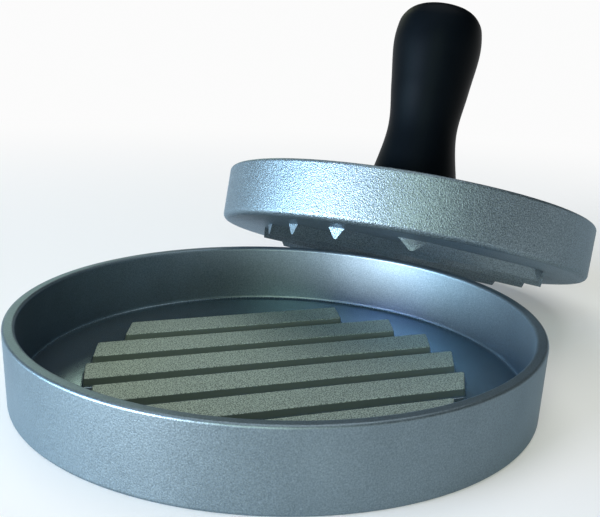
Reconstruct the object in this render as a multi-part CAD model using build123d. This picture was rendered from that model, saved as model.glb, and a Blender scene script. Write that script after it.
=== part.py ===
from build123d import *
import math
import os

# Round hand press for shaping burger patties: a shallow dish, and a press plate with an upright handle
# that fits inside it. The plate leans on the rim of the dish, with its low edge on the table.
# Sizes are in millimetres and angles in degrees. The dish stands on z = 0, centred on the Z axis,
# and the bars on its floor run along X.

# Dish: a pan cast in aluminium, with a drafted outer wall.
dish_dia = 122.0
dish_height = 17.8
dish_wall = 2.8
dish_floor = 2.8
dish_draft = 2.0
dish_inner_draft = 1.0
dish_rim_round = 0.8
dish_foot_round = 1.0
dish_corner_round = 1.5

# Flat bars cast on the floor of the dish: skewed, drafted, with their ends on a circle.
bar_count = 6
bar_pitch = 13.1
bar_width = 9.1
bar_height = 2.0
bar_side_draft = 20.0
bar_end_skew = 15.0
bar_circle_dia = 87.4
bar_corner_round = 0.9

# Press plate: a second pan, open upwards, whose outer face presses the meat.
plate_gap = 4.9
plate_height = 14.9
plate_wall = 3.0
plate_floor = 3.2
plate_rim_round = 1.3
plate_foot_round = 2.2
plate_corner_round = 3.0

# Boss in the middle of the press plate, which the handle stands on.
boss_height = 5.0
boss_margin = 2.4
boss_draft = 8.0
boss_foot_round = 1.5
boss_edge_round = 0.8

# V-shaped ridges under the press plate, cut off by a circle.
ridge_count = 6
ridge_pitch = 14.1
ridge_width = 4.0
ridge_height = 2.8
ridge_crest = 0.5
ridge_circle_dia = 80.4
ridge_end_draft = 4.0

# Handle: one turned shape moulded in black plastic.
handle_length = 65.6
handle_foot_dia = 31.0
handle_foot_round = 0.8
handle_neck_dia = 25.0
handle_neck_height = 14.0
handle_waist_dia = 20.3
handle_waist_height = 28.0
handle_grip_dia = 22.9
handle_grip_height = 40.9
handle_palm_dia = 25.7
handle_palm_height = 52.5
handle_dome_power = 3.2

# Fixing: a countersunk screw from below, in a brass insert moulded into the handle.
screw_dia = 5.0
screw_length = 24.0
screw_head_dia = 9.2
screw_head_angle = 90.0
screw_head_land = 0.3
screw_end_chamfer = 0.6
screw_socket_width = 3.0
screw_socket_depth = 1.8
screw_hole_gap = 0.25
insert_dia = 8.4
insert_length = 16.0
insert_groove_width = 1.6
insert_groove_depth = 0.7

# How the press leans: the tilt from level, the way its top leans, how far its axis passes
# beside the line through the dish, the turn of its ridges, and the gap that is left at the rim.
lean_tilt = 20.3
lean_heading = 45.7
lean_side = 6.8
lean_turn = 6.2
lean_gap = 0.05

dish_radius = dish_dia / 2
cavity_radius = dish_radius - dish_wall
plate_radius = cavity_radius - plate_gap
boss_radius = handle_foot_dia / 2 + boss_margin
boss_top = plate_floor + boss_height


def turned(points, rounds):
    """A solid of revolution about Z: the outline's corners, and the radius of some of them by index."""
    outline = make_face(Polyline(*points, close=True))
    for index, radius in rounds.items():
        corner = outline.vertices().sort_by_distance(Vector(*points[index]))[0]
        outline = fillet(corner, radius)
    return revolve(Plane.XZ * outline, Axis.Z)


def row_places(count, pitch):
    """The middles of a row of equal steps, centred on zero."""
    return [(index - (count - 1) / 2) * pitch for index in range(count)]


def dish_bar(place, root):
    """One flat bar at a given distance from the middle line, standing on the height called root."""
    half_length = math.sqrt((bar_circle_dia / 2) ** 2 - place ** 2)
    spread = bar_height * math.tan(math.radians(bar_side_draft))
    half_width = bar_width / 2 + spread
    lean = half_width * math.tan(math.radians(bar_end_skew))
    reach = half_length + spread
    corners = [(lean - reach, half_width), (-lean - reach, -half_width),
               (reach - lean, -half_width), (reach + lean, half_width)]
    outline = make_face(Polyline(*corners, close=True))
    outline = fillet(outline.vertices(), bar_corner_round)
    return Pos(0, place, root) * extrude(outline, bar_height, taper=bar_side_draft)


def make_dish():
    """The lower casting: a floor, a wall drafted outwards, and the flat bars."""
    foot_radius = dish_radius - dish_height * math.tan(math.radians(dish_draft))
    cavity_foot = cavity_radius - (dish_height - dish_floor) * math.tan(math.radians(dish_inner_draft))
    pan = turned([(0, 0), (foot_radius, 0), (dish_radius, dish_height), (cavity_radius, dish_height),
                  (cavity_foot, dish_floor), (0, dish_floor)],
                 {1: dish_foot_round, 2: dish_rim_round, 3: dish_rim_round, 4: dish_corner_round})
    bars = [dish_bar(place, dish_floor) for place in row_places(bar_count, bar_pitch)]
    return pan.fuse(*bars)


def plate_ridges():
    """The V-shaped ridges that hang under the press plate, trimmed by a drafted circle."""
    section = [(-ridge_width / 2, 0), (-ridge_crest / 2, -ridge_height),
               (ridge_crest / 2, -ridge_height), (ridge_width / 2, 0)]
    ridge = extrude(Plane.YZ * make_face(Polyline(*section, close=True)), ridge_circle_dia / 2, both=True)
    root_radius = ridge_circle_dia / 2
    crest_radius = root_radius - ridge_height * math.tan(math.radians(ridge_end_draft))
    trim = turned([(0, 0), (root_radius, 0), (crest_radius, -ridge_height), (0, -ridge_height)], {})
    return [Pos(0, place, 0) * ridge & trim for place in row_places(ridge_count, ridge_pitch)]


def countersink(hole_radius, depth):
    """The space for the screw: its head at z = 0, and a straight hole above it."""
    head_radius = screw_head_dia / 2
    cone_height = (head_radius - hole_radius) / math.tan(math.radians(screw_head_angle / 2))
    return turned([(0, 0), (head_radius, 0), (head_radius, screw_head_land),
                   (hole_radius, screw_head_land + cone_height), (hole_radius, depth), (0, depth)], {})


def make_plate():
    """The upper casting: a pan with a boss for the handle, the ridges, and the screw hole."""
    inner_radius = plate_radius - plate_wall
    boss_foot_radius = boss_radius + boss_height * math.tan(math.radians(boss_draft))
    pan = turned([(0, 0), (plate_radius, 0), (plate_radius, plate_height), (inner_radius, plate_height),
                  (inner_radius, plate_floor), (boss_foot_radius, plate_floor), (boss_radius, boss_top),
                  (0, boss_top)],
                 {1: plate_foot_round, 2: plate_rim_round, 3: plate_rim_round, 4: plate_corner_round,
                  5: boss_foot_round, 6: boss_edge_round})
    return pan.fuse(*plate_ridges()) - countersink(screw_dia / 2 + screw_hole_gap, boss_top)


def make_handle():
    """The moulded handle: a flared foot, a waist, a thicker palm end and a flattened dome."""
    palm_radius = handle_palm_dia / 2
    dome_height = handle_length - handle_palm_height
    dome = []
    for share in (0.9, 0.68):
        rise = dome_height * (1 - share ** handle_dome_power) ** (1 / handle_dome_power)
        dome.append((palm_radius * share, handle_palm_height + rise))
    side = Spline((handle_foot_dia / 2, handle_foot_round), (handle_neck_dia / 2, handle_neck_height),
                  (handle_waist_dia / 2, handle_waist_height), (handle_grip_dia / 2, handle_grip_height),
                  (palm_radius, handle_palm_height), *dome, (0, handle_length),
                  tangents=[(-0.12, 1), (-1, 0)])
    foot = Polyline((0, handle_length), (0, 0), (handle_foot_dia / 2 - handle_foot_round, 0),
                    (handle_foot_dia / 2, handle_foot_round))
    body = revolve(Plane.XZ * make_face(side + foot), Axis.Z)
    tip_room = Pos(0, 0, insert_length) * Cylinder(
        screw_dia / 2, max(screw_length - boss_top - insert_length, 0) + screw_dia / 2,
        align=(Align.CENTER, Align.CENTER, Align.MIN))
    return Pos(0, 0, boss_top) * (body - insert_body() - tip_room)


def insert_body():
    """The outer shape of the brass insert, with one groove that the plastic locks into."""
    outer = insert_dia / 2
    neck = outer - insert_groove_depth
    low = (insert_length - insert_groove_width) / 2
    high = low + insert_groove_width
    return turned([(0, 0), (outer, 0), (outer, low), (neck, low), (neck, high), (outer, high),
                   (outer, insert_length), (0, insert_length)], {})


def make_insert():
    """The brass insert with its bore, flush with the foot of the handle."""
    bore = Cylinder(screw_dia / 2, insert_length, align=(Align.CENTER, Align.CENTER, Align.MIN))
    return Pos(0, 0, boss_top) * (insert_body() - bore)


def make_screw():
    """The countersunk screw, with a hexagon socket in its head."""
    shank = screw_dia / 2
    body = countersink(shank, screw_length)
    body = chamfer(body.edges().group_by(Axis.Z)[-1], screw_end_chamfer)
    socket = extrude(RegularPolygon(screw_socket_width / 2, 6, major_radius=False), screw_socket_depth)
    return body - socket


def lean_place():
    """Where the press stands: its lower edge on the table, and its ridge crests on the rim."""
    tilt = math.radians(lean_tilt)
    heading = math.radians(lean_heading)
    height = (plate_radius - plate_foot_round) * math.sin(tilt) + plate_foot_round * (1 - math.cos(tilt))
    rim_reach = dish_radius - dish_rim_round * (1 - math.sin(tilt))
    rim_height = dish_height - dish_rim_round * (1 - math.cos(tilt))
    along = rim_reach + ((rim_height - height) * math.cos(tilt) + ridge_height + lean_gap) / math.sin(tilt)
    x = along * math.cos(heading) + lean_side * math.sin(heading)
    y = along * math.sin(heading) - lean_side * math.cos(heading)
    turn = Rot(0, 0, lean_heading) * Rot(0, lean_tilt, 0) * Rot(0, 0, lean_turn - lean_heading)
    return Pos(x, y, height) * turn


place = lean_place()
pieces = {
    "dish": make_dish(),
    "press_plate": place * make_plate(),
    "handle": place * make_handle(),
    "handle_insert": place * make_insert(),
    "handle_screw": place * make_screw(),
}

os.makedirs("parts", exist_ok=True)
for name, piece in pieces.items():
    export_step(piece, os.path.join("parts", name + ".step"))
    size = piece.bounding_box().size
    print(f"{name}: {size.X:.1f} x {size.Y:.1f} x {size.Z:.1f} mm, {piece.volume / 1000:.1f} cm3")
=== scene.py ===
import bmesh
import bpy
import math
from mathutils import Matrix, Vector


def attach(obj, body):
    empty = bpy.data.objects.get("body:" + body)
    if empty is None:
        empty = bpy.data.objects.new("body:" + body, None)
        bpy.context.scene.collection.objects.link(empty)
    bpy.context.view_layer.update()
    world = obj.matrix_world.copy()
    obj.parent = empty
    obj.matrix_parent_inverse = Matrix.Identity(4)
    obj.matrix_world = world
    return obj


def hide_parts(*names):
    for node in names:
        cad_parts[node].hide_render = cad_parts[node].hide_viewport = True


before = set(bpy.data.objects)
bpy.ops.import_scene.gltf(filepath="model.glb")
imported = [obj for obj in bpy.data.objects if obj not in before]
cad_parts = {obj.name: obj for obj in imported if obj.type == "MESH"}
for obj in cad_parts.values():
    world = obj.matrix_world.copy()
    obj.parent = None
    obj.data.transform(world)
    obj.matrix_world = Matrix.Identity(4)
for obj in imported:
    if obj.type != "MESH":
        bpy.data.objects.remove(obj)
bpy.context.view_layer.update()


# The dish. It is cast in aluminium in one piece: a flat floor, a wall that opens upwards so that it
# leaves the mould, and six flat bars on the floor that mark the patty. All of it has a pebbled
# non-stick coat. On top of the bars the coat is rougher and paler, with a coarser speckle. The olive
# tint of those tops is a painted warm reflection of the light from above, and the bars' sides are
# painted a little darker, as painted shade. Sizes are in metres.

def socket_called(sockets, name):
    """The socket of that name that a node uses with its present settings."""
    return next(one for one in sockets if one.enabled and one.name == name)


def add(tree, kind, inputs=None, **settings):
    """One node in a tree. An input, given by name or number, is a plain value or another node's output."""
    made = tree.nodes.new(kind)
    for name, value in settings.items():
        setattr(made, name, value)
    for key, value in (inputs or {}).items():
        target = made.inputs[key] if isinstance(key, int) else socket_called(made.inputs, key)
        if isinstance(value, bpy.types.NodeSocket):
            tree.links.new(value, target)
        else:
            target.default_value = value
    return made


def result(tree, kind, inputs=None, **settings):
    """What a new node gives: the first of its outputs that is in use."""
    made = add(tree, kind, inputs, **settings)
    return next(one for one in made.outputs if one.enabled)


def sum_up(tree, operation, *values):
    """The result of one sum."""
    return result(tree, "ShaderNodeMath", dict(enumerate(values)), operation=operation)


def point(tree, x=0.0, y=0.0, z=0.0):
    """A point or a step made of three numbers."""
    return result(tree, "ShaderNodeCombineXYZ", {"X": x, "Y": y, "Z": z})


def slope(degrees):
    """How far a drafted wall leans for each unit of its height."""
    return math.tan(math.radians(degrees))


def mould_tree(name, sizes):
    """A tree for what one mould makes, with a named input for each size, and those inputs by name."""
    tree = bpy.data.node_groups.new(name, "GeometryNodeTree")
    tree.interface.new_socket("Geometry", in_out="OUTPUT", socket_type="NodeSocketGeometry")
    for label, value in sizes.items():
        kind = "NodeSocketInt" if isinstance(value, int) else "NodeSocketFloat"
        tree.interface.new_socket(label, in_out="INPUT", socket_type=kind)
    return tree, tree.nodes.new("NodeGroupInput").outputs


round_steps = 7


def outline(tree, corners, closed=False):
    """A line through corners of (radius, height, rounding), with its corners rounded. It is drawn upside
    down, because a sweep along a flat curve turns it over."""
    index = result(tree, "GeometryNodeInputIndex")
    places = add(tree, "GeometryNodeIndexSwitch", {"Index": index}, data_type="VECTOR")
    rounds = add(tree, "GeometryNodeIndexSwitch", {"Index": index}, data_type="FLOAT")
    for picker in (places, rounds):
        while len(picker.index_switch_items) < len(corners):
            picker.index_switch_items.new()
    for number, (radius, height, rounding) in enumerate(corners, 1):
        down = sum_up(tree, "MULTIPLY", height, -1.0)
        tree.links.new(point(tree, radius, down), places.inputs[number])
        tree.links.new(sum_up(tree, "ADD", rounding, 0.0), rounds.inputs[number])
    line = result(tree, "GeometryNodeMeshLine", {"Count": len(corners)})
    line = result(tree, "GeometryNodeSetPosition", {"Geometry": line, "Position": places.outputs[0]})
    line = result(tree, "GeometryNodeMeshToCurve", {"Mesh": line})
    line = result(tree, "GeometryNodeSetSplineCyclic", {"Geometry": line, "Cyclic": closed})
    rounding = {"Curve": line, "Count": round_steps, "Radius": rounds.outputs[0], "Limit Radius": True}
    return result(tree, "GeometryNodeFilletCurve", rounding, mode="POLY")


# Points that are closer than this are welded into one.
weld_gap = 0.000002


def turned(tree, line, steps):
    """The surface that an outline sweeps round the Z axis, the right way up. The ring that it follows is so
    small that its points are welded at the axis."""
    ring = result(tree, "GeometryNodeCurvePrimitiveCircle", {"Resolution": steps, "Radius": weld_gap})
    return result(tree, "GeometryNodeCurveToMesh", {"Curve": ring, "Profile Curve": line})


def row(tree, count, pitch, piece):
    """Copies of a piece along Y, evenly spaced about the middle, made real."""
    gaps = sum_up(tree, "SUBTRACT", count, 1.0)
    first = sum_up(tree, "MULTIPLY", gaps, sum_up(tree, "MULTIPLY", pitch, -0.5))
    line = {"Count": count, "Start Location": point(tree, y=first), "Offset": point(tree, y=pitch)}
    spots = result(tree, "GeometryNodeMeshLine", line)
    copies = result(tree, "GeometryNodeInstanceOnPoints", {"Points": spots, "Instance": piece})
    return result(tree, "GeometryNodeRealizeInstances", {"Geometry": copies})


def circle_half(tree, radius, y):
    """Half the length of the chord of a circle at a distance y from its centre."""
    radius_square = sum_up(tree, "MULTIPLY", radius, radius)
    square = sum_up(tree, "SUBTRACT", radius_square, sum_up(tree, "MULTIPLY", y, y))
    return sum_up(tree, "SQRT", square)


sharp_angle = math.radians(35)


def moulded(name, tree, sizes, parts, material, place=Matrix()):
    """Ends a tree with its parts joined and given their material, and puts the plain mesh that it makes in
    its place as an object."""
    joined = add(tree, "GeometryNodeJoinGeometry")
    # The part that is linked last comes first.
    for part in reversed(parts):
        tree.links.new(part, joined.inputs[0])
    merge = {"Geometry": joined.outputs[0], "Distance": weld_gap / 2}
    whole = result(tree, "GeometryNodeMergeByDistance", merge)
    whole = result(tree, "GeometryNodeRealizeInstances", {"Geometry": whole})
    whole = result(tree, "GeometryNodeSetMaterial", {"Geometry": whole, "Material": material})
    tree.links.new(whole, tree.nodes.new("NodeGroupOutput").inputs[0])
    piece = bpy.data.objects.new(name, bpy.data.meshes.new(name))
    bpy.context.scene.collection.objects.link(piece)
    shape = piece.modifiers.new("shape", "NODES")
    shape.node_group = tree
    for socket in tree.interface.items_tree:
        if socket.in_out == "INPUT":
            shape[socket.identifier] = sizes[socket.name]
    bpy.context.view_layer.update()
    made = bpy.data.meshes.new_from_object(piece.evaluated_get(bpy.context.evaluated_depsgraph_get()))
    piece.modifiers.remove(shape)
    made.transform(place)
    soft = bmesh.new()
    soft.from_mesh(made)
    bmesh.ops.remove_doubles(soft, verts=soft.verts, dist=weld_gap)
    bmesh.ops.recalc_face_normals(soft, faces=soft.faces)
    for face in soft.faces:
        face.smooth = True
    for edge in soft.edges:
        edge.smooth = edge.calc_face_angle(0) < sharp_angle
    soft.to_mesh(made)
    soft.free()
    piece.data = made
    piece.modifiers.new("even_shading", "WEIGHTED_NORMAL").keep_sharp = True
    return piece


def new_material(name):
    """A new material, its tree, its shader, and the place of each point on the piece."""
    material = bpy.data.materials.new(name)
    material.use_nodes = True
    tree = material.node_tree
    place = add(tree, "ShaderNodeTexCoord").outputs["Object"]
    return material, tree, tree.nodes["Principled BSDF"], place


def noise(tree, place, scale, detail, roughness=0.5):
    """An uneven pattern of shares between 0 and 1."""
    inputs = {"Vector": place, "Scale": scale, "Detail": detail, "Roughness": roughness}
    return result(tree, "ShaderNodeTexNoise", inputs)


def spread(tree, value, low=0.0, high=1.0, start=0.0, end=1.0, **settings):
    """A number that goes from low to high while a value goes from start to end."""
    inputs = {"Value": value, "From Min": start, "From Max": end, "To Min": low, "To Max": high}
    return result(tree, "ShaderNodeMapRange", inputs, **settings)


def ramp(tree, share, dark, light, start=0.0, end=1.0):
    """A colour that goes from dark to light while a share goes from start to end."""
    made = add(tree, "ShaderNodeValToRGB", {"Fac": share})
    first, last = made.color_ramp.elements
    first.position = start
    first.color = (*dark, 1)
    last.position = end
    last.color = (*light, 1)
    return made.outputs["Color"]


def blend(tree, share, first, second):
    """A colour that goes from the first to the second while a share goes from 0 to 1."""
    return result(tree, "ShaderNodeMix", {"Factor": share, "A": first, "B": second}, data_type="RGBA")


def finish(tree, shader, paint, rough, height, strength, relief):
    """Gives a shader its colour, its roughness and its fine relief."""
    bump = result(tree, "ShaderNodeBump", {"Strength": strength, "Distance": relief, "Height": height})
    tree.links.new(paint, shader.inputs["Base Color"])
    tree.links.new(rough, shader.inputs["Roughness"])
    tree.links.new(bump, shader.inputs["Normal"])


# Circles round the floor inside the foot of the wall, and round the bars.
floor_radius = 0.0578
bars_radius = 0.050

# The depths below the bars' tops between which the mask of the tops, and that of the floor, comes in.
top_band = (0.00022, 0.00005)
low_band = (0.0014, 0.0019)


def zones(tree, place, raised):
    """Three masks: what lies at the height called raised, its sides, and the floor round it."""
    height = add(tree, "ShaderNodeSeparateXYZ", {"Vector": place}).outputs["Z"]
    plan = result(tree, "ShaderNodeVectorMath", {0: place, 1: (1, 1, 0)}, operation="MULTIPLY")
    within = result(tree, "ShaderNodeVectorMath", {0: plan}, operation="LENGTH")
    among_bars = sum_up(tree, "LESS_THAN", within, bars_radius)
    top = spread(tree, height, start=raised - top_band[0], end=raised - top_band[1])
    top = sum_up(tree, "MULTIPLY", top, among_bars)
    low = spread(tree, height, start=raised - low_band[0], end=raised - low_band[1])
    side = sum_up(tree, "SUBTRACT", sum_up(tree, "SUBTRACT", 1.0, top), low)
    side = sum_up(tree, "MULTIPLY", side, among_bars)
    floor = sum_up(tree, "MULTIPLY", low, sum_up(tree, "LESS_THAN", within, floor_radius))
    return top, side, floor


grain_scale = 3300.0
pebble_scale = 2700.0
pebble_share = 0.7
cloud_scale = 70.0
cloud_share = 0.15
coat_dark = (0.096, 0.130, 0.152)
coat_light = (0.205, 0.268, 0.305)
coat_roughness = (0.36, 0.50)
coat_metal = 0.85
coat_specular = (0.6, 0.7, 0.8)
coat_bump = 0.8
# The bar tops: a paler, coarser speckle of the coat's own, in an olive tint that is a painted warm
# reflection of the light from above.
bar_top_dark_speckle_and_sheen = (0.122, 0.158, 0.137)
bar_top_light_speckle_and_sheen = (0.470, 0.575, 0.505)
# The bars' sides are painted a little darker: painted shade.
bar_side_painted_shade = (0.130, 0.165, 0.148)
bar_metal = 0.25
bar_roughness_step = 0.1
floor_paint = (0.150, 0.198, 0.228)
floor_evenness = 0.85
floor_brightness_step = 0.4
floor_relief_step = -0.8
floor_roughness_step = -0.2


def pebbled(name, relief, fleck, raised=None):
    """The coat: a satin blue-grey with fine pebbles of some relief, and lighter specks. What stands up to
    the height called raised is rougher on top, and paler there with a coarser speckle whose olive tint is a
    painted warm reflection of the light from above. It is duller on its sides, which are painted a little
    darker as painted shade, and has a smoother floor round it."""
    material, tree, shader, place = new_material(name)
    grain = noise(tree, place, grain_scale, detail=1.0, roughness=0.6)
    cloud = noise(tree, place, cloud_scale, detail=3.0)
    # Both patterns vary about one half. What is added keeps their sum there too, whatever their shares.
    tone = sum_up(tree, "MULTIPLY_ADD", grain, fleck, 0.5 * (1 - fleck - cloud_share))
    tone = sum_up(tree, "MULTIPLY_ADD", cloud, cloud_share, tone)
    paint = ramp(tree, tone, coat_dark, coat_light, start=0.34, end=0.66)
    rough = spread(tree, grain, *coat_roughness)
    cells = {"Vector": place, "Scale": pebble_scale, "Smoothness": 0.5}
    pebble = result(tree, "ShaderNodeTexVoronoi", cells, feature="SMOOTH_F1")
    height = sum_up(tree, "MULTIPLY_ADD", pebble, pebble_share, grain)
    if raised:
        top, side, floor = zones(tree, place, raised)
        paint = blend(tree, sum_up(tree, "MULTIPLY", floor, floor_evenness), paint, (*floor_paint, 1))
        bright = sum_up(tree, "MULTIPLY_ADD", floor, floor_brightness_step, 1.0)
        paint = result(tree, "ShaderNodeVectorMath", {0: paint, 1: bright}, operation="MULTIPLY")
        # The sides of the bars are painted a little darker, as painted shade.
        paint = blend(tree, side, paint, (*bar_side_painted_shade, 1))
        # The tops get coarse specks in an olive tint, which is a painted warm reflection of the light from
        # above.
        specks = noise(tree, place, grain_scale, detail=1.0, roughness=0.7)
        top_flecks_and_sheen = ramp(tree, specks, bar_top_dark_speckle_and_sheen, bar_top_light_speckle_and_sheen, start=0.40, end=0.60)
        paint = blend(tree, top, paint, top_flecks_and_sheen)
        rise = sum_up(tree, "MULTIPLY_ADD", floor, floor_relief_step, 1.0)
        height = sum_up(tree, "MULTIPLY", height, sum_up(tree, "ADD", rise, top))
        rough = sum_up(tree, "MULTIPLY_ADD", floor, floor_roughness_step, rough)
        rough = sum_up(tree, "MULTIPLY_ADD", top, bar_roughness_step, rough)
        metal = spread(tree, sum_up(tree, "ADD", top, side), coat_metal, bar_metal)
        tree.links.new(metal, shader.inputs["Metallic"])
    shader.inputs["Metallic"].default_value = coat_metal
    shader.inputs["Specular Tint"].default_value = (*coat_specular, 1)
    finish(tree, shader, paint, rough, height, coat_bump, relief)
    return material


dish_rim_radius = 0.06098
dish_height = 0.0178
dish_floor = 0.0028
dish_cavity_radius = 0.0582
dish_sizes = {
    "Steps": 288,
    "Rim Radius": dish_rim_radius,
    "Foot Radius": dish_rim_radius - dish_height * slope(2),
    "Height": dish_height,
    "Cavity Radius": dish_cavity_radius,
    "Cavity Foot Radius": dish_cavity_radius - (dish_height - dish_floor) * slope(1),
    "Floor": dish_floor,
    "Rim Round": 0.0007,
    "Foot Round": 0.0010,
    "Corner Round": 0.0008,
    "Bar Count": 6,
    "Bar Pitch": 0.0131,
    "Bar Width": 0.0091,
    "Bar Top": 0.0048,
    "Bar Circle Radius": 0.0434,
    "Bar End Skew": slope(16),
    "Bar End Turn": 6.5,
    "Bar Even End": 0.0215,
    "Bar Corner Round": 0.0003,
    "Bar Edge": 0.0003,
    "Bar Edge Round": 0.00025,
    "Bar Side Spread": 0.0004,
    "Bar Foot Round": 0.0003,
    "Bar Foot Reach": 0.0004,
    "Bar Root": 0.0003,
}
tree, size = mould_tree("dish_casting", dish_sizes)
pan = turned(tree, outline(tree, [
    (0.0, 0.0, 0.0),
    (size["Foot Radius"], 0.0, size["Foot Round"]),
    (size["Rim Radius"], size["Height"], size["Rim Round"]),
    (size["Cavity Radius"], size["Height"], size["Rim Round"]),
    (size["Cavity Foot Radius"], size["Floor"], size["Corner Round"]),
    (0.0, size["Floor"], 0.0),
]), size["Steps"])

# Each bar starts as a short flat strip, a stub. Its two ends are then moved out to the circle, further
# on one side than on the other, so that the end is skewed. The skew changes a little from bar to bar.
stub = 0.006
corner_steps = 4
flat_width = sum_up(tree, "SUBTRACT", size["Bar Width"], sum_up(tree, "MULTIPLY", size["Bar Edge"], 2.0))
flat = result(tree, "GeometryNodeCurvePrimitiveQuadrilateral", {"Width": stub * 2, "Height": flat_width})
corner = {"Curve": flat, "Count": corner_steps, "Radius": size["Bar Corner Round"], "Limit Radius": True}
flat = result(tree, "GeometryNodeFilletCurve", corner, mode="POLY")
flats = row(tree, size["Bar Count"], size["Bar Pitch"], flat)
index = result(tree, "GeometryNodeInputIndex")
bar_number = result(tree, "GeometryNodeFieldOnDomain", {"Value": index}, domain="CURVE", data_type="INT")
middle = sum_up(tree, "MULTIPLY", sum_up(tree, "SUBTRACT", size["Bar Count"], 1.0), 0.5)
bar_place = sum_up(tree, "MULTIPLY", sum_up(tree, "SUBTRACT", bar_number, middle), size["Bar Pitch"])
across = add(tree, "ShaderNodeSeparateXYZ", {"Vector": result(tree, "GeometryNodeInputPosition")}).outputs
which_end = sum_up(tree, "SIGN", across["X"])
reach = sum_up(tree, "SUBTRACT", circle_half(tree, size["Bar Circle Radius"], bar_place), stub)
off_even = sum_up(tree, "SUBTRACT", size["Bar Even End"], bar_place)
turn = sum_up(tree, "MULTIPLY", off_even, size["Bar End Turn"])
skew = sum_up(tree, "ADD", size["Bar End Skew"], sum_up(tree, "MULTIPLY", which_end, turn))
skew = sum_up(tree, "MULTIPLY", skew, sum_up(tree, "SUBTRACT", across["Y"], bar_place))
apart = point(tree, sum_up(tree, "ADD", sum_up(tree, "MULTIPLY", which_end, reach), skew))
flats = result(tree, "GeometryNodeSetPosition", {"Geometry": flats, "Offset": apart})
foot_line = sum_up(tree, "ADD", size["Bar Edge"], size["Bar Side Spread"])
foot_end = sum_up(tree, "ADD", foot_line, size["Bar Foot Reach"])
side = outline(tree, [
    (0.0, size["Bar Top"], 0.0),
    (size["Bar Edge"], size["Bar Top"], size["Bar Edge Round"]),
    (foot_line, size["Floor"], size["Bar Foot Round"]),
    (foot_end, size["Floor"], 0.0),
    (foot_end, sum_up(tree, "SUBTRACT", size["Floor"], size["Bar Root"]), 0.0),
])
sides = result(tree, "GeometryNodeCurveToMesh", {"Curve": flats, "Profile Curve": side})
tops = result(tree, "GeometryNodeFillCurve", {"Curve": flats}, mode="NGONS")
tops = result(tree, "GeometryNodeSetPosition", {"Geometry": tops, "Offset": point(tree, z=size["Bar Top"])})
dish_coat = pebbled("dish_coat", relief=0.00003, fleck=0.4, raised=dish_sizes["Bar Top"])
dish = moulded("dish_casting", tree, dish_sizes, [pan, sides, tops], dish_coat)
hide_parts("dish")
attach(dish, "base")


# The press plate. It is a second aluminium pan, cast open at the top with a boss in the middle for the
# handle, and has V-shaped ridges under it that print the other side of the patty. It has the same coat,
# and leans here on the rim of the dish, with its low edge on the table.

boss_height = 0.0050
plate_floor = 0.0032
boss_radius = 0.0179
plate_sizes = {
    "Steps": 288,
    "Rim Radius": 0.0532,
    "Foot Radius": 0.05277,
    "Height": 0.0149,
    "Cavity Radius": 0.0503,
    "Floor": plate_floor,
    "Boss Radius": boss_radius,
    "Boss Foot Radius": boss_radius + boss_height * slope(8),
    "Boss Top": plate_floor + boss_height,
    "Rim Round": 0.0009,
    "Foot Round": 0.0016,
    "Corner Round": 0.0030,
    "Boss Foot Round": 0.0015,
    "Boss Edge Round": 0.0008,
    "Hole Radius": 0.00275,
    "Screw Head Radius": 0.0046,
    "Screw Head Land": 0.0003,
    "Ridge Count": 6,
    "Ridge Pitch": 0.0141,
    "Ridge Width": 0.0040,
    "Ridge Height": 0.0028,
    "Ridge Crest": 0.0005,
    "Ridge Crest Round": 0.00012,
    "Ridge Root": 0.0003,
    "Ridge Circle Radius": 0.0411,
    "Ridge Circle X": 0.0007,
    "Ridge End Draft": slope(4),
}

# How the press leans: where the middle of its foot is, the direction and amount of its tilt, and how
# far the ridges are turned about the handle.
lean_foot = Vector((0.052626, 0.044191, 0.017865))
lean_heading = math.radians(45.7)
lean_tilt = math.radians(20.3)
ridge_turn = math.radians(6.2)
press_place = (Matrix.Translation(lean_foot)
               @ Matrix.Rotation(lean_heading, 4, "Z")
               @ Matrix.Rotation(lean_tilt, 4, "Y")
               @ Matrix.Rotation(ridge_turn - lean_heading, 4, "Z"))
tree, size = mould_tree("plate_casting", plate_sizes)
cone_height = sum_up(tree, "SUBTRACT", size["Screw Head Radius"], size["Hole Radius"])
cone_top = sum_up(tree, "ADD", size["Screw Head Land"], cone_height)
pan = turned(tree, outline(tree, [
    (size["Screw Head Radius"], 0.0, 0.0),
    (size["Foot Radius"], 0.0, size["Foot Round"]),
    (size["Rim Radius"], size["Height"], size["Rim Round"]),
    (size["Cavity Radius"], size["Height"], size["Rim Round"]),
    (size["Cavity Radius"], size["Floor"], size["Corner Round"]),
    (size["Boss Foot Radius"], size["Floor"], size["Boss Foot Round"]),
    (size["Boss Radius"], size["Boss Top"], size["Boss Edge Round"]),
    (size["Hole Radius"], size["Boss Top"], 0.0),
    (size["Hole Radius"], cone_top, 0.0),
    (size["Screw Head Radius"], size["Screw Head Land"], 0.0),
], closed=True), size["Steps"])

# Each ridge too starts as a stub, and its ends are moved out to the circle.
half_width = sum_up(tree, "MULTIPLY", size["Ridge Width"], 0.5)
half_crest = sum_up(tree, "MULTIPLY", size["Ridge Crest"], 0.5)
crest = sum_up(tree, "MULTIPLY", size["Ridge Height"], -1.0)
section = outline(tree, [
    (sum_up(tree, "MULTIPLY", half_width, -1.0), size["Ridge Root"], 0.0),
    (sum_up(tree, "MULTIPLY", half_width, -1.0), 0.0, 0.0),
    (sum_up(tree, "MULTIPLY", half_crest, -1.0), crest, size["Ridge Crest Round"]),
    (half_crest, crest, size["Ridge Crest Round"]),
    (half_width, 0.0, 0.0),
    (half_width, size["Ridge Root"], 0.0),
], closed=True)
run = result(tree, "GeometryNodeCurvePrimitiveLine", {"Start": (-stub, 0, 0), "End": (stub, 0, 0)})
ridge = result(tree, "GeometryNodeCurveToMesh", {"Curve": run, "Profile Curve": section, "Fill Caps": True})
ridges = row(tree, size["Ridge Count"], size["Ridge Pitch"], ridge)
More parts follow.
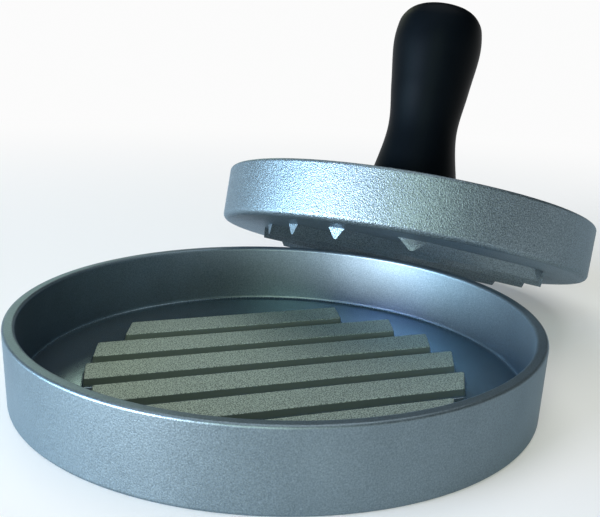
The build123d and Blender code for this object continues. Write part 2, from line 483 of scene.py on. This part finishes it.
across = add(tree, "ShaderNodeSeparateXYZ", {"Vector": result(tree, "GeometryNodeInputPosition")}).outputs
depth = sum_up(tree, "ABSOLUTE", across["Z"])
reach = sum_up(tree, "SUBTRACT", circle_half(tree, size["Ridge Circle Radius"], across["Y"]),
               sum_up(tree, "MULTIPLY", depth, size["Ridge End Draft"]))
reach = sum_up(tree, "MULTIPLY", sum_up(tree, "SIGN", across["X"]), sum_up(tree, "SUBTRACT", reach, stub))
apart = point(tree, sum_up(tree, "ADD", reach, size["Ridge Circle X"]))
ridges = result(tree, "GeometryNodeSetPosition", {"Geometry": ridges, "Offset": apart})
plate_coat = pebbled("plate_coat", relief=0.00011, fleck=0.9)
plate = moulded("plate_casting", tree, plate_sizes, [pan, ridges], plate_coat, press_place)
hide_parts("press_plate")
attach(plate, "press")


# The handle. It is moulded in black plastic round a brass insert, with a flared foot that sits on the
# boss, a waist for the fingers and a thicker end for the palm. Its skin is smooth and satin.

handle_sizes = {
    "Steps": 160,
    "Foot Radius": 0.0155,
    "Foot Round": 0.0008,
    "Foot Edge": 0.0003,
    "Neck Radius": 0.0125,
    "Neck Height": 0.0140,
    "Waist Radius": 0.01015,
    "Waist Height": 0.0280,
    "Grip Radius": 0.01145,
    "Grip Height": 0.0409,
    "Palm Radius": 0.01285,
    "Palm Height": 0.0525,
    "Length": 0.0656,
    "Seat": plate_sizes["Boss Top"],
}

# The end of the palm is a superellipse of this power, through points at these shares of its radius.
dome_power = 3.3
dome_shares = (0.97, 0.88, 0.7, 0.4, 0.15)
side_steps = 110
plastic, nodes, shader, place = new_material("handle_plastic_black")
shader.inputs["Specular IOR Level"].default_value = 0.12
shader.inputs["Specular Tint"].default_value = (0.75, 0.92, 1.0, 1)
shader.inputs["IOR"].default_value = 1.25
fine = noise(nodes, place, scale=3200.0, detail=2.0)
broad = noise(nodes, place, scale=90.0, detail=2.0)
black = ramp(nodes, broad, dark=(0.0008, 0.0014, 0.0022), light=(0.0016, 0.0028, 0.0042))
satin = spread(nodes, broad, low=0.42, high=0.52)
finish(nodes, shader, black, satin, fine, strength=0.25, relief=0.00004)

tree, size = mould_tree("handle_moulding", handle_sizes)
corners = [("Foot Radius", "Foot Round"), ("Neck Radius", "Neck Height"), ("Waist Radius", "Waist Height"),
           ("Grip Radius", "Grip Height"), ("Palm Radius", "Palm Height")]
points = [(size[radius], size[height], 0.0) for radius, height in corners]
dome = sum_up(tree, "SUBTRACT", size["Length"], size["Palm Height"])
for share in dome_shares:
    rise = sum_up(tree, "MULTIPLY", dome, (1 - share ** dome_power) ** (1 / dome_power))
    radius = sum_up(tree, "MULTIPLY", size["Palm Radius"], share)
    points.append((radius, sum_up(tree, "ADD", size["Palm Height"], rise), 0.0))
points.append((0.0, size["Length"], 0.0))
side = outline(tree, points)
side = result(tree, "GeometryNodeCurveSplineType", {"Curve": side}, spline_type="CATMULL_ROM")
side = result(tree, "GeometryNodeResampleCurve", {"Curve": side, "Count": side_steps})
foot_flat = sum_up(tree, "SUBTRACT", size["Foot Radius"], size["Foot Round"])
foot = outline(tree, [
    (0.0, 0.0, 0.0),
    (foot_flat, 0.0, size["Foot Edge"]),
    (size["Foot Radius"], size["Foot Round"], 0.0),
])
seat = point(tree, z=size["Seat"])
parts = [turned(tree, line, size["Steps"]) for line in (foot, side)]
parts = [result(tree, "GeometryNodeSetPosition", {"Geometry": part, "Offset": seat}) for part in parts]
handle = moulded("handle_moulding", tree, handle_sizes, parts, plastic, press_place)
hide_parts("handle")
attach(handle, "press")


# The brass insert in the handle. It is a turned bush with a groove that the plastic grips, and the
# bore for the screw inside. It is closed in by the handle and the boss.

def turned_metal(name, scale, detail, dark, light, roughness):
    """A bare metal with the fine marks of turning."""
    material, tree, shader, place = new_material(name)
    marks = noise(tree, place, scale, detail)
    tree.links.new(ramp(tree, marks, dark, light), shader.inputs["Base Color"])
    tree.links.new(spread(tree, marks, *roughness), shader.inputs["Roughness"])
    shader.inputs["Metallic"].default_value = 1.0
    return material


brass = turned_metal("turned_brass", scale=900.0, detail=2.0, dark=(0.62, 0.46, 0.22),
                     light=(0.78, 0.60, 0.31), roughness=(0.28, 0.42))
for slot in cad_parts["handle_insert"].material_slots:
    slot.material = brass


# The screw. It is a stainless countersunk screw with a hexagon socket, put in from below, and holds
# the handle down on the boss. Its head lies flush with the pressing face.

steel = turned_metal("stainless_steel", scale=1400.0, detail=3.0, dark=(0.52, 0.52, 0.53),
                     light=(0.68, 0.68, 0.69), roughness=(0.25, 0.40))
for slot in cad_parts["handle_screw"].material_slots:
    slot.material = steel


# The studio: a pale floor and a white backdrop, a wide soft light overhead, two low windows on the
# left with a weaker, bluer light above them, weaker soft lights in front and behind, and the camera at
# the photograph's viewing angle.

floor_half = 6
floor_mesh = bpy.data.meshes.new("studio_floor")
floor_corners = [(x * floor_half, y * floor_half, 0) for x, y in ((-1, -1), (1, -1), (1, 1), (-1, 1))]
floor_mesh.from_pydata(floor_corners, [], [(0, 1, 2, 3)])
studio_floor = bpy.data.objects.new("studio_floor", floor_mesh)
bpy.context.scene.collection.objects.link(studio_floor)
white = (0.97, 0.97, 0.97, 1)

# The floor is matt near the object and becomes as even a white as the backdrop further away.
pale, nodes, shader, place = new_material("pale_floor")
nodes.nodes.remove(shader)
away = result(nodes, "ShaderNodeVectorMath", {0: place}, operation="LENGTH")
far = spread(nodes, away, low=0.2, start=0.10, end=0.50, interpolation_type="SMOOTHSTEP")
matt = result(nodes, "ShaderNodeBsdfDiffuse", {"Color": (0.93, 0.93, 0.93, 1)})
glow = result(nodes, "ShaderNodeEmission", {"Color": white, "Strength": 1.0})
mixed = result(nodes, "ShaderNodeMixShader", {"Fac": far, 1: matt, 2: glow})
nodes.links.new(mixed, nodes.nodes["Material Output"].inputs["Surface"])
floor_mesh.materials.append(pale)

# The backdrop is white to a little above the horizon. Higher up it is dark, so only the lights count.
world = bpy.data.worlds.new("studio")
bpy.context.scene.world = world
world.use_nodes = True
nodes = world.node_tree
direction = add(nodes, "ShaderNodeTexCoord").outputs["Generated"]
climb = add(nodes, "ShaderNodeSeparateXYZ", {"Vector": direction}).outputs["Z"]
backdrop = spread(nodes, climb, start=0.08, end=0.30, interpolation_type="SMOOTHSTEP")
sky = blend(nodes, backdrop, white, (0.01, 0.012, 0.014, 1))
nodes.links.new(sky, nodes.nodes["Background"].inputs["Color"])

light_aim = Vector((0.02, 0.02, 0.03))
light_distance = 2.2


def soft_light(name, azimuth, elevation, width, height, colour):
    """A rectangular soft light that faces the object from an azimuth and an elevation in degrees. Its
    colour is how bright it looks."""
    lamp = bpy.data.lights.new(name, "AREA")
    lamp.shape = "RECTANGLE"
    lamp.size = width
    lamp.size_y = height
    lamp.energy = math.pi * width * height * max(colour)
    lamp.color = [part / max(colour) for part in colour]
    turn = Matrix.Rotation(math.radians(azimuth), 3, "Z") @ Matrix.Rotation(math.radians(-elevation), 3, "Y")
    holder = bpy.data.objects.new(name, lamp)
    holder.location = turn @ Vector((light_distance, 0, 0)) + light_aim
    holder.rotation_euler = (light_aim - holder.location).to_track_quat("-Z", "Y").to_euler()
    bpy.context.scene.collection.objects.link(holder)


overhead = bpy.data.lights.new("overhead_light", "SUN")
overhead.energy = 1.3
overhead.angle = math.radians(60)
from_above = Vector((0.05, 0.10, 0.99))
holder = bpy.data.objects.new("overhead_light", overhead)
holder.rotation_euler = from_above.to_track_quat("Z", "Y").to_euler()
bpy.context.scene.collection.objects.link(holder)
soft_light("window_light", 198, 4.5, 0.97, 0.29, (98, 100, 104))
soft_light("second_window_light", 174, 4.5, 0.97, 0.29, (33, 49, 60))
soft_light("high_window_light", 195, 18, 1.4, 0.7, (0.4, 1.2, 4.6))
soft_light("front_light", 241, 23, 1.2, 1.2, (4.1, 4.7, 3.4))
soft_light("back_light", 95, 24, 0.9, 0.7, (2.4, 2.6, 1.9))

# The lens and the camera's axes and place were fitted to the outlines in the photograph.
lens = bpy.data.cameras.new("camera")
lens.sensor_width = 36.0
lens.lens = 55.732
camera = bpy.data.objects.new("camera", lens)
right = Vector((0.94052, -0.33742, 0.03965))
up = Vector((0.05137, 0.25659, 0.96515))
back = Vector((-0.33584, -0.90571, 0.25866))
camera.matrix_world = Matrix((right, up, back)).transposed().to_4x4()
camera.location = (-0.06659, -0.19288, 0.08531)
bpy.context.scene.collection.objects.link(camera)
bpy.context.scene.camera = camera
bpy.context.scene.view_settings.view_transform = "Standard"
